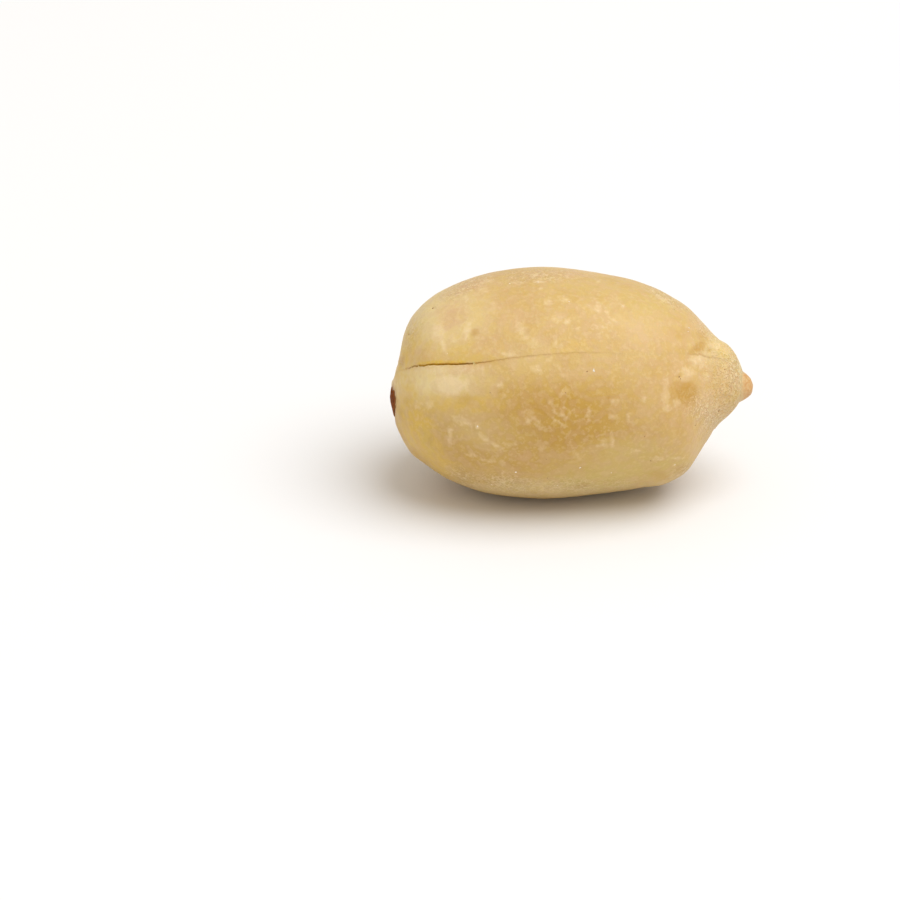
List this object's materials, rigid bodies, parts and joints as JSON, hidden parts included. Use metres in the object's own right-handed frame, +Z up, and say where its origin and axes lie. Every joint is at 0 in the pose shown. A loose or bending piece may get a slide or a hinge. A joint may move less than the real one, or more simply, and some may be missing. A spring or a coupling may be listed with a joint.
{
  "type": "roasted peanut kernel",
  "caption": "Whole roasted, blanched peanut kernel lying on its side: seed halves closed along a seam, with the germ's root tip at the pointed end and a scrap of skin at the blunt end.",
  "frame": {"origin": "on the resting surface, under the middle of the kernel's bounding box", "axes": "+X along the kernel towards the germ's root tip, +Z up, -Y is the side that the seam's raised edge faces"},
  "size_m": [0.0152, 0.0098, 0.0095],
  "materials": {
    "upper_half_flesh": "dry roasted seed flesh, satin, pale golden tan",
    "lower_half_flesh": "dry roasted seed flesh, satin, warmer golden tan",
    "germ_flesh": "roasted orange-brown germ, satin",
    "seed_skin": "papery dark red-brown seed skin"
  },
  "bodies": {
    "root": {"seed_half_upper": "upper_half_flesh", "seed_half_lower": "lower_half_flesh", "germ": "germ_flesh", "skin_scrap": "seed_skin"}
  },
  "joints": []
}
